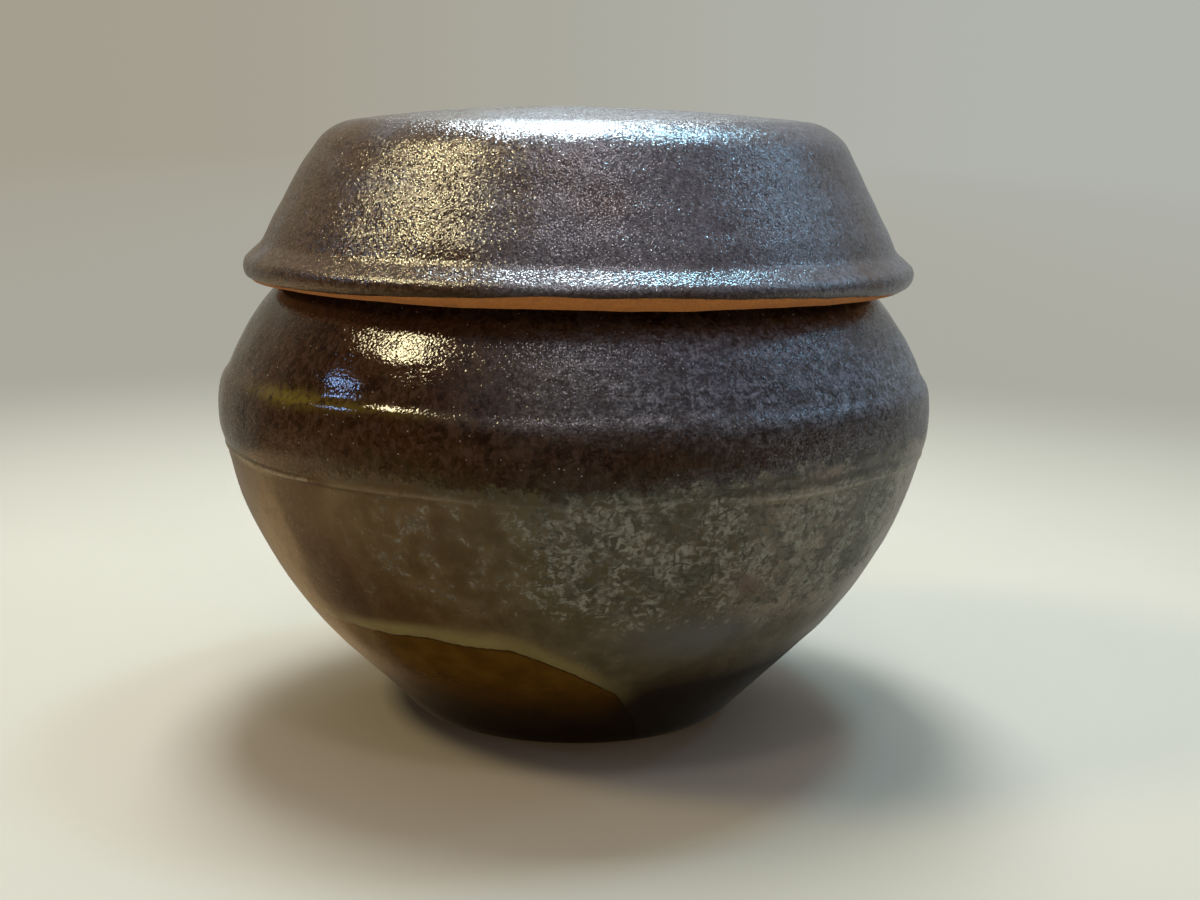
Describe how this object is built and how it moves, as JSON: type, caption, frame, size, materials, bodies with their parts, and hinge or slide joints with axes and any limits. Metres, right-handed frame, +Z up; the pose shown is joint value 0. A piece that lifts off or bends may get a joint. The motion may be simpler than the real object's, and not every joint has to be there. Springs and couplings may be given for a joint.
{
  "type": "korean earthenware jar",
  "caption": "Squat wheel-thrown jar with a wide belly and small foot, closed by a loose domed lid that lifts straight off its rolled rim.",
  "frame": {"origin": "centre of the foot, on the surface that the jar stands on", "axes": "+Z up along the axis both pieces were thrown about; the pictured side faces -Y, with +X to its right"},
  "size_m": [0.13, 0.13, 0.1101],
  "materials": {
    "jar_glaze": "glossy dark red-brown glaze with a mottled grey-olive lower wall, bare terracotta foot and rim",
    "lid_glaze": "satin brown-grey orange-peel glaze with a bare terracotta band under the bead"
  },
  "bodies": {
    "jar_body": {"jar": "jar_glaze"},
    "lid_body": {"lid": "lid_glaze"}
  },
  "joints": [
    {"name": "lid_lift", "type": "slide", "parent": "jar_body", "child": "lid_body", "axis": [0, 0, 1], "range_m": [0, 0.08]}
  ]
}
